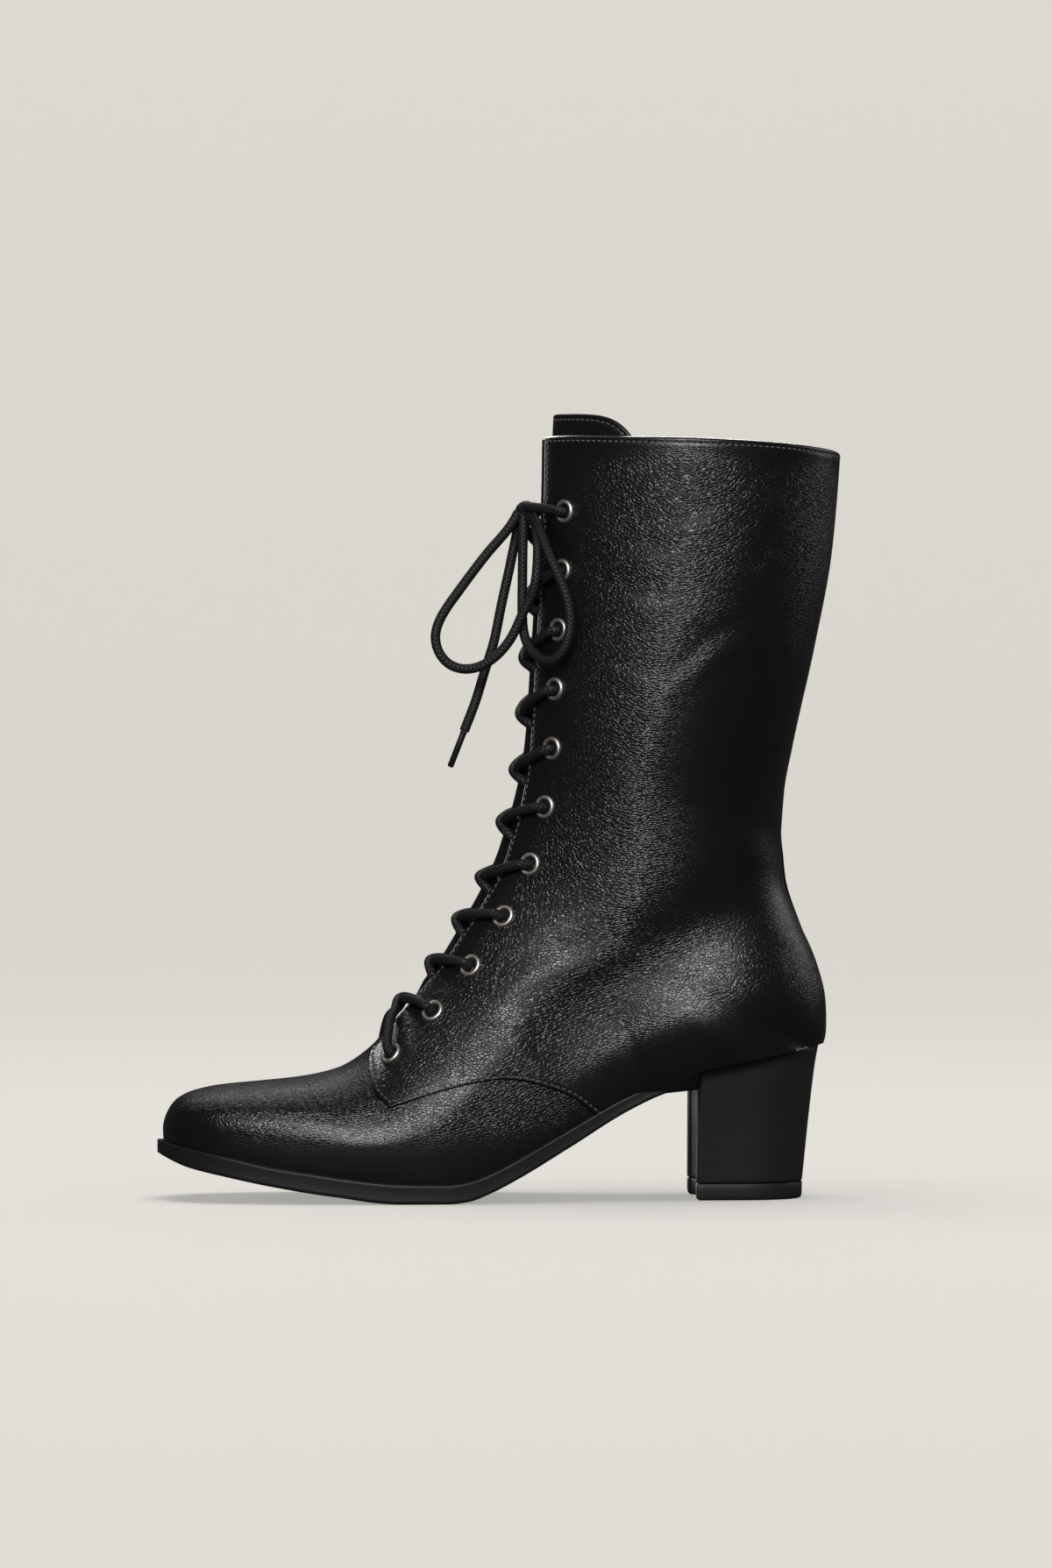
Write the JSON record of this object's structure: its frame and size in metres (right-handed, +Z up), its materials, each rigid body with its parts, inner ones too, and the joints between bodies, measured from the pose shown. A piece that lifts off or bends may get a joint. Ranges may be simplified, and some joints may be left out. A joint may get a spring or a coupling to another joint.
{
  "type": "lace-up boot",
  "caption": "Mid-calf lace-up boot in black leather for a left foot, with a stepped quarter, metal eyelets, a tied round lace and a block heel.",
  "frame": {"origin": "on the floor under the middle of the boot's length and width, without the bow of the lace", "axes": "-X towards the toe, -Y towards the outer (lateral) side, +Z up"},
  "size_m": [0.2588, 0.0934, 0.2966],
  "materials": {
    "upper_leather": "black grained leather, satin",
    "insole_leather": "dark smooth insole leather",
    "sole_rubber": "black sole rubber, satin edge",
    "heel_stack": "black heel block, matte with fine stacked lines",
    "top_lift_rubber": "black rubber top lift",
    "eyelet_metal": "antique nickel eyelets",
    "lace_cord": "black round braided lace",
    "aglet": "black lace tips"
  },
  "bodies": {
    "root": {"upper": "upper_leather", "tongue": "upper_leather", "insole": "insole_leather", "outsole": "sole_rubber", "heel": "heel_stack", "heel_top_lift": "top_lift_rubber", "eyelet_lateral_1": "eyelet_metal", "eyelet_lateral_2": "eyelet_metal", "eyelet_lateral_3": "eyelet_metal", "eyelet_lateral_4": "eyelet_metal", "eyelet_lateral_5": "eyelet_metal", "eyelet_lateral_6": "eyelet_metal", "eyelet_lateral_7": "eyelet_metal", "eyelet_lateral_8": "eyelet_metal", "eyelet_lateral_9": "eyelet_metal", "eyelet_lateral_10": "eyelet_metal", "eyelet_lateral_11": "eyelet_metal", "eyelet_medial_1": "eyelet_metal", "eyelet_medial_2": "eyelet_metal", "eyelet_medial_3": "eyelet_metal", "eyelet_medial_4": "eyelet_metal", "eyelet_medial_5": "eyelet_metal", "eyelet_medial_6": "eyelet_metal", "eyelet_medial_7": "eyelet_metal", "eyelet_medial_8": "eyelet_metal", "eyelet_medial_9": "eyelet_metal", "eyelet_medial_10": "eyelet_metal", "eyelet_medial_11": "eyelet_metal", "lace_crossing_1": "lace_cord", "lace_crossing_2": "lace_cord", "lace_crossing_3": "lace_cord", "lace_crossing_4": "lace_cord", "lace_crossing_5": "lace_cord", "lace_crossing_6": "lace_cord", "lace_crossing_7": "lace_cord", "lace_crossing_8": "lace_cord", "lace_crossing_9": "lace_cord", "lace_top_bar": "lace_cord", "lace_knot": "lace_cord", "lace_loop_front": "lace_cord", "lace_loop_lateral": "lace_cord", "lace_end_front": "lace_cord", "lace_end_medial": "lace_cord", "aglet_front": "aglet", "aglet_medial": "aglet"}
  },
  "joints": []
}
